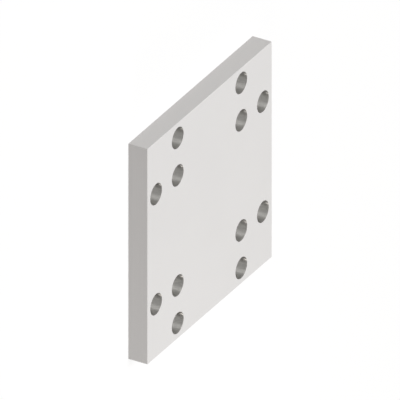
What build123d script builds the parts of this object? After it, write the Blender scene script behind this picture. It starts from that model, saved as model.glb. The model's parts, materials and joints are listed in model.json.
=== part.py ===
from build123d import *

import os

# Square cover plate for a bolted frame: one flat piece of aluminium with plain through holes.
# The holes fill a square field of four rows and four columns, all but its corner places. So each
# corner of the plate has three of them in an L, to bolt it over the end of a column, or across
# the joint of two rails. The outside edges and the hole mouths are broken with a light chamfer.
#
# Frame: the plate lies on its back face. +Z is the outward normal of the front face, and X and Y
# run along the sides. The origin is the centre of the back face. All sizes are in millimetres.

# Plate
plate_length = 90.0  # side along X
plate_width = 90.0  # side along Y
plate_thickness = 8.0  # along Z
edge_break = 0.1  # chamfer on the twelve outside edges

# Bolt holes
hole_diameter = 8.5  # clearance for an 8 mm screw
outer_row_inset = 6.35  # from an edge of the plate to the centres of the row beside it
inner_row_inset = 22.0  # from an edge of the plate to the centres of the next row in
mouth_break = 0.1  # chamfer at both ends of every hole

# Which way each corner of the plate lies from its centre, along X and Y
corner_sides = [(-1, -1), (1, -1), (1, 1), (-1, 1)]


def corner_group(x_side, y_side):
    """Centres of one corner's L of holes: its inner hole, and one beyond that along each axis."""
    inner_x = x_side * (plate_length / 2 - inner_row_inset)
    inner_y = y_side * (plate_width / 2 - inner_row_inset)
    outer_x = x_side * (plate_length / 2 - outer_row_inset)
    outer_y = y_side * (plate_width / 2 - outer_row_inset)
    return [(inner_x, inner_y), (outer_x, inner_y), (inner_x, outer_y)]


def make_blank():
    """The plate before drilling, with its outside edges broken."""
    with BuildPart() as blank:
        with BuildSketch():
            Rectangle(plate_length, plate_width)
        extrude(amount=plate_thickness)
        chamfer(blank.edges(), edge_break)
    return blank.part


def drill(blank):
    """The plate with every hole drilled right through it and deburred at both faces."""
    with BuildPart() as plate:
        add(blank)
        for x_side, y_side in corner_sides:
            with Locations(*corner_group(x_side, y_side)):
                Hole(hole_diameter / 2)
        mouths = plate.edges().filter_by(GeomType.CIRCLE)
        chamfer(mouths, mouth_break)
    return plate.part


os.makedirs("parts", exist_ok=True)
cover_plate = drill(make_blank())
cover_plate.label = "cover_plate"
export_step(cover_plate, "parts/cover_plate.step")
print("cover_plate:", cover_plate.bounding_box().size, "volume", round(cover_plate.volume), "mm3")
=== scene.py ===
# %% [markdown]
# # Dressing a machined cover plate
#
# The real object is one square of thick aluminium flat, clear anodised to a satin grey, with
# twelve bolt holes drilled straight through it. It has no moving part and nothing is fitted to it,
# so everything that makes it look real is in three places. These are the crispness of its edges,
# the difference between its rolled faces, milled sides and drilled holes, and the light.
#
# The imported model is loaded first. It fixes the size and place of everything that follows.

import json
from math import atan2, cos, pi, radians, sin

import bpy
from mathutils import Matrix, Vector


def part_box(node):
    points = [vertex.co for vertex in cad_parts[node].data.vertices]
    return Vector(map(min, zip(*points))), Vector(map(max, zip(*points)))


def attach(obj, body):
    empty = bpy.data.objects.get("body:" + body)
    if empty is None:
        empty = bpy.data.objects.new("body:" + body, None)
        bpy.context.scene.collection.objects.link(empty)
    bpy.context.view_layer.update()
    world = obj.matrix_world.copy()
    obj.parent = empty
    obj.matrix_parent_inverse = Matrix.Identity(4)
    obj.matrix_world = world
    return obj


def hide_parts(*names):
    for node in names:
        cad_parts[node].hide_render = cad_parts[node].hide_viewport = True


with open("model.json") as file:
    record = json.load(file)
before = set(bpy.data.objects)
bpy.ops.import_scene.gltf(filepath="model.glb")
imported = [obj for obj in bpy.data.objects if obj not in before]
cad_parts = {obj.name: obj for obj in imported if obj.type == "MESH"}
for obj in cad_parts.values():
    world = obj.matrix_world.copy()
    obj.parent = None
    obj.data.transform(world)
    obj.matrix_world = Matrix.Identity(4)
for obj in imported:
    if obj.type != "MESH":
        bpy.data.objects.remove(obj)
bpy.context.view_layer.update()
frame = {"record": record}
plate_low, plate_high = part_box("cover_plate")
plate_size = plate_high - plate_low
mm = 0.001  # Blender works in metres
print("plate, in mm:", [round(side / mm, 2) for side in plate_size])

# %% [markdown]
# The holes are where the record's bolt patterns say. Each pattern is a rectangle of four holes, and
# it gives the rectangle's centre, its two spacings and the holes' radius. Reading them from there
# is safer than typing them again, because a changed plate then brings its changed holes along.

# %% Read the holes from the record
bolt_patterns = [mount for mount in frame["record"]["mounts"] if mount["kind"] == "bolt_pattern"]
hole_radius = bolt_patterns[0]["dims"]["hole_r_mm"] * mm


def pattern_centres(pattern):
    """The four hole centres of one bolt pattern, on the plate's back face."""
    centre = Vector(pattern["pos_m"])
    half_x = pattern["dims"]["spacing_x_mm"] / 2 * mm
    half_y = pattern["dims"]["spacing_y_mm"] / 2 * mm
    signs = [(-1, -1), (1, -1), (1, 1), (-1, 1)]
    return [Vector((centre.x + x * half_x, centre.y + y * half_y, plate_low.z)) for x, y in signs]


hole_centres = [centre for pattern in bolt_patterns for centre in pattern_centres(pattern)]
print(len(hole_centres), "holes of", round(2 * hole_radius / mm, 2), "mm")

# %% [markdown]
# ## The plate
#
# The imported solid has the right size, but its holes are many-sided, and its chamfered edges are
# flat. A close look at metal shows both, because a glossy wall mirrors every facet, and a real
# deburred edge is a tiny round that catches a line of light. So the plate is modelled again, to
# the same size, in three steps: a block with rounded edges, a smooth lining for each hole, and two
# flat faces that join them.
#
# Booleans would also cut the holes. They can leave uneven slivers beside a mouth, and a bevel run
# along such an edge comes out ragged. Linings that are drawn first and sewn in keep every mouth
# even.

# %% Small tools for modelling
edge_round = 0.1 * mm  # radius of the deburred edges and hole mouths
round_steps = 4  # faces across each round
tolerance = 1e-6  # a difference that counts as none


def deselect_all():
    """Leaves nothing selected, so that the next operator acts only on what is added for it."""
    if bpy.context.object and bpy.context.object.mode == "EDIT":
        bpy.ops.object.mode_set(mode="OBJECT")
    bpy.ops.object.select_all(action="DESELECT")


def pick_faces(piece, wanted):
    """Selects just the faces that pass the test. Starts in object mode and ends in edit mode."""
    for part in (*piece.data.vertices, *piece.data.edges):
        part.select = False
    picked = 0
    for face in piece.data.polygons:
        face.select = bool(wanted(face))
        picked += face.select
    bpy.ops.object.mode_set(mode="EDIT")
    bpy.ops.mesh.select_mode(type="FACE")
    return picked


def pick_edges(piece, wanted):
    """Selects just the edges whose two ends pass the test. Ends in edit mode, as above."""
    points = piece.data.vertices
    for part in (*points, *piece.data.polygons):
        part.select = False
    picked = 0
    for edge in piece.data.edges:
        edge.select = all(wanted(points[end].co) for end in edge.vertices)
        picked += edge.select
    bpy.ops.object.mode_set(mode="EDIT")
    bpy.ops.mesh.select_mode(type="EDGE")
    return picked


print("edges are rounded by", round(edge_round / mm, 2), "mm, in", round_steps, "steps")

# %% [markdown]
# ### The block
#
# A cube is added at the plate's size, and all twelve of its edges are rounded at once. Its two
# large faces are then opened, because new ones with holes in them are drawn at the end. What is
# left is the band of the four sides.

# %% Make the band of the four sides
deselect_all()
bpy.ops.mesh.primitive_cube_add(size=1, location=(plate_low + plate_high) / 2, scale=plate_size)
plate = bpy.context.object
plate.name = "machined_plate"
bpy.ops.object.transform_apply(location=True, rotation=True, scale=True)

bpy.ops.object.mode_set(mode="EDIT")
bpy.ops.mesh.select_all(action="SELECT")
bpy.ops.mesh.bevel(offset=edge_round, segments=round_steps, affect="EDGES")
bpy.ops.object.mode_set(mode="OBJECT")

broad_faces = pick_faces(plate, lambda face: abs(face.normal.z) > 1 - tolerance)
bpy.ops.mesh.delete(type="ONLY_FACE")
bpy.ops.object.mode_set(mode="OBJECT")
print("opened", broad_faces, "faces;", len(plate.data.polygons), "are left in the band")

# %% [markdown]
# ### A hole's lining
#
# A lining is a circle that is extruded step by step: in and down over the front mouth's round,
# straight down the wall, and out over the back mouth's round. Spinning a profile would give the
# same shape. Extruding a circle needs no clean-up where the ends of a spin meet.

# %% Make one lining
hole_sides = 96  # enough that the wall's outline looks round from close up


def mouth_ring(turn):
    """Radius and depth of the mouth's round, from 0 at the face to a quarter turn at the wall."""
    radius = hole_radius + edge_round * (1 - sin(turn))
    depth = edge_round * (1 - cos(turn))
    return radius, depth


quarter = [pi / 2 * step / round_steps for step in range(round_steps + 1)]
front_rings = [mouth_ring(turn) for turn in quarter]
back_rings = [(radius, plate_size.z - depth) for radius, depth in reversed(front_rings)]
lining_rings = front_rings + back_rings

deselect_all()
bpy.ops.mesh.primitive_circle_add(
    vertices=hole_sides, radius=lining_rings[0][0], location=(0, 0, plate_high.z)
)
first_lining = bpy.context.object
bpy.ops.object.transform_apply(location=True, rotation=True, scale=True)
bpy.ops.object.mode_set(mode="EDIT")
bpy.ops.mesh.select_all(action="SELECT")
for (old_radius, old_depth), (radius, depth) in zip(lining_rings, lining_rings[1:]):
    bpy.ops.mesh.extrude_edges_move(TRANSFORM_OT_translate={"value": (0, 0, old_depth - depth)})
    shrink = radius / old_radius
    bpy.ops.transform.resize(
        value=(shrink, shrink, 1), center_override=(0, 0, plate_high.z - depth)
    )
bpy.ops.object.mode_set(mode="OBJECT")
print("the lining has", len(first_lining.data.polygons), "faces")

# %% [markdown]
# A drill leaves fine rings round the wall, and the bore's finish will need to know which way they
# run. A UV map can say so. It is laid out here, while the lining still stands on its own axis: U
# goes once round the hole and V goes down it. One face straddles the place where the turns jump
# from one back to nought, so each corner is given the turn that is nearest its own face's middle.

# %% Lay out the lining
def turns_round(point):
    """How far round the hole's axis a point lies, in turns."""
    return atan2(point.y, point.x) / (2 * pi)


def lay_out(piece):
    """Gives the lining its UV map: turns round the axis, and depth in plate thicknesses."""
    layout = piece.data.uv_layers.active.data
    for face in piece.data.polygons:
        middle_turns = turns_round(face.center)
        for corner in face.loop_indices:
            point = piece.data.vertices[piece.data.loops[corner].vertex_index].co
            turns = turns_round(point)
            turns += round(middle_turns - turns)
            layout[corner].uv = (turns, (plate_high.z - point.z) / plate_size.z)
    return [corner.uv.x for corner in layout]


turns_used = lay_out(first_lining)
print("the map goes from", round(min(turns_used), 3), "to", round(max(turns_used), 3), "turns")

# %% [markdown]
# The lining is copied to every hole, each copy with its own mesh, and all are joined to the band.

# %% Place the linings
linings = [first_lining]
for _ in hole_centres[1:]:
    lining = first_lining.copy()
    lining.data = first_lining.data.copy()
    bpy.context.collection.objects.link(lining)
    linings.append(lining)

deselect_all()
for lining, centre in zip(linings, hole_centres):
    lining.location = (centre.x, centre.y, 0)
    lining.select_set(True)
bpy.context.view_layer.objects.active = first_lining
bpy.ops.object.transform_apply(location=True, rotation=False, scale=False)
plate.select_set(True)
bpy.context.view_layer.objects.active = plate
bpy.ops.object.join()
print("band and linings together:", len(plate.data.polygons), "faces")

# %% [markdown]
# ### The two broad faces
#
# At the front, the open edges are now the outline and twelve circles, all in one plane. Fill draws
# flat triangles between them and leaves the circles open. The same is done at the back. The normals
# are then made to point outwards, and open edges are counted: a closed plate has none.

# %% Sew in the broad faces
for height in (plate_high.z, plate_low.z):
    in_plane = pick_edges(plate, lambda point: abs(point.z - height) < tolerance)
    bpy.ops.mesh.fill(use_beauty=True)
    bpy.ops.object.mode_set(mode="OBJECT")
    print("filled between", in_plane, "edges")

bpy.ops.object.mode_set(mode="EDIT")
bpy.ops.mesh.select_all(action="SELECT")
bpy.ops.mesh.normals_make_consistent(inside=False)
bpy.ops.mesh.select_all(action="DESELECT")
bpy.ops.mesh.select_mode(type="VERT")
bpy.ops.mesh.select_non_manifold()
bpy.ops.object.mode_set(mode="OBJECT")
open_points = sum(point.select for point in plate.data.vertices)
print("points on an open edge:", open_points)

# %% [markdown]
# Smooth shading blends the normals of neighbouring faces. On its own it would bend the light on
# the broad faces near every edge. The Weighted Normal modifier lets large faces win, so they shade
# flat, and only the narrow rounds shade round.

# %% Shade the rounds
deselect_all()
plate.select_set(True)
bpy.context.view_layer.objects.active = plate
bpy.ops.object.shade_smooth()
bpy.ops.object.modifier_add(type="WEIGHTED_NORMAL")
plate.modifiers[-1].weight = 100  # the highest, so that large faces win outright
bpy.ops.object.modifier_apply(modifier=plate.modifiers[-1].name)
smooth_faces = sum(face.use_smooth for face in plate.data.polygons)
print(smooth_faces, "of", len(plate.data.polygons), "faces shade smoothly")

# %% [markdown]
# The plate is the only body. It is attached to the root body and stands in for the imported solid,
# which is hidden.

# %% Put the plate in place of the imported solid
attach(plate, "root")
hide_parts("cover_plate")
print("the plate has", len(plate.data.polygons), "faces and", len(plate.data.vertices), "points")

# %% [markdown]
# ## The finishes
#
# The plate is one metal with three surfaces on it. The two broad faces are as rolled, etched to a
# satin skin in the anodising bath. The four sides were cut by a mill and carry faint lines along
# their length. The holes were drilled, so their walls are barer metal with fine rings, and their
# colour is painted darker and warmer than the skin, as painted shade inside the holes.
#
# Clear anodising is a thin glassy skin on metal. It scatters much more light than bare metal does,
# so it looks pale grey from every side, and not like a mirror. A fairly rough Principled shader
# that is only partly metallic gives that look.
#
# The faces and the sides share one colour. The marks on all three are kept very faint, because they
# should be noticed only when the plate is turned close to the eye.

# %% Start a finish
skin_colour = (0.757, 0.752, 0.749, 1)  # clear anodised aluminium


def new_material(name):
    """A node material with nothing set."""
    material = bpy.data.materials.new(name)
    material.use_nodes = True
    return material


def start_finish(name, colour, metallic, roughness):
    """A metal finish whose colour and roughness are still plain, and its shader node."""
    material = new_material(name)
    shader = material.node_tree.nodes["Principled BSDF"]
    shader.inputs["Base Color"].default_value = colour
    shader.inputs["Metallic"].default_value = metallic
    shader.inputs["Roughness"].default_value = roughness
    return material, shader


print("skin colour:", skin_colour[:3])

# %% [markdown]
# Marks are made the same way each time. A noise is read at the piece's own coordinates, which are
# in metres, and a Mapping node in front of it says how many marks there are to a metre along each
# axis. A mark that should be a line gets a small number along the line and a large one across it.

# %% A noise to draw marks with
noise_reach = (0.3, 0.7)  # almost all of a noise's values lie between these


def add_noise(material, per_metre, detail, label):
    """A noise with this many marks to a metre along X, Y and Z. Gives the socket of its value."""
    nodes = material.node_tree.nodes
    links = material.node_tree.links
    place = nodes.new("ShaderNodeTexCoord")
    spread = nodes.new("ShaderNodeMapping")
    spread.inputs["Scale"].default_value = per_metre
    noise = nodes.new("ShaderNodeTexNoise")
    noise.label = label
    noise.inputs["Scale"].default_value = 1
    noise.inputs["Detail"].default_value = detail
    links.new(place.outputs["Object"], spread.inputs["Vector"])
    links.new(spread.outputs["Vector"], noise.inputs["Vector"])
    return noise.outputs["Fac"]


print("a noise is taken to run from", noise_reach[0], "to", noise_reach[1])

# %% [markdown]
# The noise then goes to three places. It shades the colour a little, it makes the skin a little
# rougher or smoother, and it raises and sinks the surface by some thousandths of a millimetre. One
# of them alone tends to look painted on. Together they look like something that was done to metal.

# %% What a mark changes
def shade_colour(material, shader, value, swing):
    """Makes the colour follow a noise, from darker than it is to lighter by the same share."""
    plain = shader.inputs["Base Color"].default_value[:3]
    nodes = material.node_tree.nodes
    links = material.node_tree.links
    ramp = nodes.new("ShaderNodeValToRGB")
    for stop, place, share in zip(ramp.color_ramp.elements, noise_reach, (1 - swing, 1 + swing)):
        stop.position = place
        stop.color = (*(part * share for part in plain), 1)
    links.new(value, ramp.inputs["Fac"])
    links.new(ramp.outputs["Color"], shader.inputs["Base Color"])


def vary_roughness(material, shader, value, swing):
    """Makes the roughness follow a noise, from this much under what it is to this much over."""
    plain = shader.inputs["Roughness"].default_value
    nodes = material.node_tree.nodes
    links = material.node_tree.links
    change = nodes.new("ShaderNodeMapRange")
    change.inputs["From Min"].default_value = noise_reach[0]
    change.inputs["From Max"].default_value = noise_reach[1]
    change.inputs["To Min"].default_value = plain - swing
    change.inputs["To Max"].default_value = plain + swing
    links.new(value, change.inputs["Value"])
    links.new(change.outputs["Result"], shader.inputs["Roughness"])


def raise_marks(material, shader, value, height):
    """Raises and sinks the surface by a noise. The height is in metres."""
    nodes = material.node_tree.nodes
    links = material.node_tree.links
    bump = nodes.new("ShaderNodeBump")
    bump.inputs["Distance"].default_value = height
    links.new(value, bump.inputs["Height"])
    links.new(bump.outputs["Normal"], shader.inputs["Normal"])


print("a mark can change the colour, the roughness and the height of the surface")

# %% [markdown]
# ### The broad faces
#
# The etched skin has a fine grain with no direction, a few tenths of a millimetre across. Over
# longer stretches its tone drifts by about one part in a hundred, as it does on any sheet.

# %% Finish for the broad faces
face_finish, shader = start_finish("anodised_face", skin_colour, metallic=0.2, roughness=0.55)
drift = add_noise(face_finish, (45, 45, 45), detail=2, label="tone drift")
grain = add_noise(face_finish, (3200, 3200, 3200), detail=3, label="etched grain")
shade_colour(face_finish, shader, drift, swing=0.008)
vary_roughness(face_finish, shader, grain, swing=0.04)
raise_marks(face_finish, shader, grain, height=0.004 * mm)
print(face_finish.name, "has", len(face_finish.node_tree.nodes), "nodes")

# %% [markdown]
# ### The sides
#
# The cutter ran along each side, so its lines lie along X on two sides and along Y on the other
# two. Noise that changes slowly along both X and Y, and fast along Z, draws lines that lie the
# right way on all four sides at once.

# %% Finish for the sides
side_finish, shader = start_finish("milled_side", skin_colour, metallic=0.3, roughness=0.45)
lines = add_noise(side_finish, (40, 40, 3500), detail=3, label="cutter lines")
shade_colour(side_finish, shader, lines, swing=0.012)
vary_roughness(side_finish, shader, lines, swing=0.06)
raise_marks(side_finish, shader, lines, height=0.003 * mm)
print(side_finish.name, "has", len(side_finish.node_tree.nodes), "nodes")

# %% [markdown]
# ### The bores
#
# The rings round a drilled wall are grooves, and grooves stretch a highlight across themselves. So
# each lamp is drawn in the wall as a band of light down the length of the hole, which slides round
# the wall as the plate is turned. That is what tells the eye that a hole was drilled.
#
# Bump could make these grooves, but they are far too fine to be drawn one by one. The shader's
# Anisotropic setting does the same for grooves of any fineness. It stretches the highlight along
# the tangent. The UV map's own tangent runs round the hole, and a quarter turn makes it run down
# the hole instead. A few coarser rings are then drawn with noise, for close views.

# %% Finish for the bores
# Painted shade: the walls are barer metal, and their colour is painted darker and warmer than the
# skin, for the shade and warm bounced light inside the holes.
bore_painted_shade_colour = (0.518, 0.511, 0.491, 1)  # barer, darker metal than the skin
bore_finish, shader = start_finish("drilled_bore", bore_painted_shade_colour, metallic=0.65, roughness=0.34)
rings = add_noise(bore_finish, (60, 60, 9000), detail=2, label="drill rings")
shade_colour(bore_finish, shader, rings, swing=0.04)
vary_roughness(bore_finish, shader, rings, swing=0.03)
raise_marks(bore_finish, shader, rings, height=0.002 * mm)

round_hole = bore_finish.node_tree.nodes.new("ShaderNodeTangent")
round_hole.direction_type = "UV_MAP"
round_hole.uv_map = plate.data.uv_layers.active.name
bore_finish.node_tree.links.new(round_hole.outputs["Tangent"], shader.inputs["Tangent"])
shader.inputs["Anisotropic"].default_value = 1
shader.inputs["Anisotropic Rotation"].default_value = 0.25
print(bore_finish.name, "has", len(bore_finish.node_tree.nodes), "nodes")

# %% [markdown]
# ### Where each finish goes
#
# The bore's finish goes on the walls, and on the last step of the round at each mouth, which is
# almost as steep as the wall. The rest of that round belongs with the broad faces, because a plate
# is deburred before it is anodised. Of the other faces, one that looks straight up or down is a
# broad face, and what is left is a side.

# %% Share out the finishes
bore_reach = hole_radius + 0.2 * edge_round  # takes in the last step of the mouth's round
mouth_reach = hole_radius + 1.2 * edge_round  # takes in all of it
finishes = [face_finish, side_finish, bore_finish]


def within(point, reach):
    """True where a point is nearer than this to some hole's axis."""
    return any((point - centre).xy.length < reach for centre in hole_centres)


def finish_for(face):
    """The finish that a face takes."""
    corners = [plate.data.vertices[corner].co for corner in face.vertices]
    if all(within(corner, bore_reach) for corner in corners):
        return bore_finish
    if abs(face.normal.z) > 1 - tolerance or within(face.center, mouth_reach):
        return face_finish
    return side_finish


for finish in finishes:
    plate.data.materials.append(finish)
for face in plate.data.polygons:
    face.material_index = finishes.index(finish_for(face))
for number, finish in enumerate(finishes):
    print(finish.name, "on", sum(face.material_index == number for face in plate.data.polygons))

# %% [markdown]
# ## The floor and the surroundings
#
# The plate lies on a plain white floor that runs out of sight. It is one large square, and it lies
# a hair below the plate, so that the two surfaces never fight for the same place.

# %% Floor
floor_size = 6
floor_gap = 0.05 * mm

deselect_all()
floor_centre = (0, 0, plate_low.z - floor_gap)
bpy.ops.mesh.primitive_plane_add(size=floor_size, location=floor_centre)
floor = bpy.context.object
floor.name = "floor"
print("the floor is", floor_size, "m wide and lies", round(floor_gap / mm, 2), "mm below the plate")

# %% [markdown]
# A floor that is lit until it turns white would throw so much light back that the plate's sides
# would go white with it. So the floor and the world around it are each drawn twice, once for what
# is seen and once for the light that bounces. A Light Path node tells the two apart: it knows
# whether a ray comes from the camera, from a reflection, through glass or from a matt bounce.

# %% Tell what is seen from what only gives light
def seen_directly(nodes, links):
    """A socket that is 1 for what the eye sees, or sees in a reflection or through glass."""
    path = nodes.new("ShaderNodeLightPath")
    either = nodes.new("ShaderNodeMath")
    either.operation = "MAXIMUM"
    links.new(path.outputs["Is Glossy Ray"], either.inputs[0])
    links.new(path.outputs["Is Transmission Ray"], either.inputs[1])
    any_of_them = nodes.new("ShaderNodeMath")
    any_of_them.operation = "MAXIMUM"
    links.new(path.outputs["Is Camera Ray"], any_of_them.inputs[0])
    links.new(either.outputs["Value"], any_of_them.inputs[1])
    return any_of_them.outputs["Value"]


print("seen are camera, glossy and transmission rays")

# %% [markdown]
# To the eye, and in the metal's reflections, the floor glows at almost white and is painted just
# enough to take a soft shadow. The glow is what the paint leaves over, so that an open patch of
# floor comes to white. To the light that bounces, the floor is a plain matt grey, slightly warm,
# which lights the sides from below.

# %% Paint for the floor
floor_bounce = (0.32, 0.30, 0.285, 1)  # colour that bounced light takes from the floor
shadow_share = 0.15  # how much of the floor's white comes from the lamps, and so can be shaded
open_light = 0.89  # what the lamps and the sky give an open patch of floor, where 1 is white

floor_paint = new_material("floor_paint")
nodes = floor_paint.node_tree.nodes
links = floor_paint.node_tree.links
nodes.clear()
glow = nodes.new("ShaderNodeEmission")
glow.inputs["Strength"].default_value = 1 - shadow_share * open_light
paint = nodes.new("ShaderNodeBsdfDiffuse")
paint.inputs["Color"].default_value = (shadow_share, shadow_share, shadow_share, 1)
shown = nodes.new("ShaderNodeAddShader")
links.new(glow.outputs["Emission"], shown.inputs[0])
links.new(paint.outputs["BSDF"], shown.inputs[1])
bounce = nodes.new("ShaderNodeBsdfDiffuse")
bounce.inputs["Color"].default_value = floor_bounce
choice = nodes.new("ShaderNodeMixShader")
links.new(seen_directly(nodes, links), choice.inputs["Fac"])
links.new(bounce.outputs["BSDF"], choice.inputs[1])
links.new(shown.outputs["Shader"], choice.inputs[2])
surface = nodes.new("ShaderNodeOutputMaterial")
links.new(choice.outputs["Shader"], surface.inputs["Surface"])
floor.data.materials.append(floor_paint)
print("the floor glows at", round(1 - shadow_share * open_light, 3))

# %% [markdown]
# The world is white where it is seen, even in a reflection. Everywhere else it gives a dim, warm
# light, which keeps the shadows from going black.

# %% World
sky_colour = (1, 0.92, 0.85, 1)
sky_strength = 0.175

world = bpy.data.worlds.new("studio")
bpy.context.scene.world = world
world.use_nodes = True
nodes = world.node_tree.nodes
links = world.node_tree.links
nodes.clear()
dim = nodes.new("ShaderNodeBackground")
dim.inputs["Color"].default_value = sky_colour
dim.inputs["Strength"].default_value = sky_strength
white = nodes.new("ShaderNodeBackground")
white.inputs["Color"].default_value = (1, 1, 1, 1)
white.inputs["Strength"].default_value = 1
choice = nodes.new("ShaderNodeMixShader")
links.new(seen_directly(nodes, links), choice.inputs["Fac"])
links.new(dim.outputs["Background"], choice.inputs[1])
links.new(white.outputs["Background"], choice.inputs[2])
around = nodes.new("ShaderNodeOutputWorld")
links.new(choice.outputs["Shader"], around.inputs["Surface"])
print("the world lights the plate at", sky_strength)

# %% [markdown]
# ## The lamps
#
# A large soft lamp stands almost above the plate, towards one side, so that this side is lighter
# than the others. A small one stands low and near, beyond the opposite side. It lights that side,
# and it grazes the side next to it, most at the end that is nearest to the lamp. It also draws
# a second band of light at one end of each bore. The two sides that the camera sees, the broad face
# and the bores then each have a tone of their own.

# %% Lamps
def add_lamp(name, towards, distance, width, power, colour):
    """A round soft lamp that stands off the plate in one direction and faces it."""
    data = bpy.data.lights.new(name, "AREA")
    data.shape = "DISK"
    data.size = width
    data.energy = power
    data.color = colour
    lamp = bpy.data.objects.new(name, data)
    direction = Vector(towards).normalized()
    lamp.location = direction * distance
    lamp.rotation_euler = direction.to_track_quat("Z", "Y").to_euler()
    bpy.context.collection.objects.link(lamp)
    print(name, "stands at", [round(place, 2) for place in lamp.location])


add_lamp("key", (-0.40, -0.04, 0.91), distance=3, width=1.6, power=71, colour=(1, 1, 1))
add_lamp("fill", (0.35, -0.12, 0.08), distance=0.38, width=0.07, power=0.47, colour=(1, 0.95, 0.91))

# %% [markdown]
# ## The camera
#
# The view shows the plate upright, turned 60 degrees to its left and seen from 30 degrees above,
# with no perspective. The plate can't stand like that on its own, so it lies down, and it is the
# camera that is turned. The way to the eye is worked out as if the plate stood, from the three
# ways in which a standing plate would face: its front is the lying plate's +Z, its right is +Y, and
# its top is -X.

# %% Camera
front = Vector((0, 0, 1))
right = Vector((0, 1, 0))
top = Vector((-1, 0, 0))
turn = radians(60)
rise = radians(30)
level = cos(turn) * front - sin(turn) * right
to_eye = cos(rise) * level + sin(rise) * top
eye_right = cos(turn) * right + sin(turn) * front
eye_up = cos(rise) * top - sin(rise) * level

view_width = 1.6085 * plate_size.y
right_of_middle = 0.0387 * plate_size.y  # where the face's centre lies in the view
below_middle = 0.0119 * plate_size.y
front_centre = Vector((0, 0, plate_high.z))
aim = front_centre - right_of_middle * eye_right + below_middle * eye_up

camera_data = bpy.data.cameras.new("camera")
camera_data.type = "ORTHO"
camera_data.ortho_scale = view_width
camera = bpy.data.objects.new("camera", camera_data)
bpy.context.collection.objects.link(camera)
rotation = Matrix((eye_right, eye_up, to_eye)).transposed().to_4x4()
camera.matrix_world = Matrix.Translation(aim + to_eye) @ rotation
bpy.context.scene.camera = camera
bpy.context.scene.view_settings.view_transform = "Standard"
print("the view is", round(view_width / mm, 1), "mm wide")
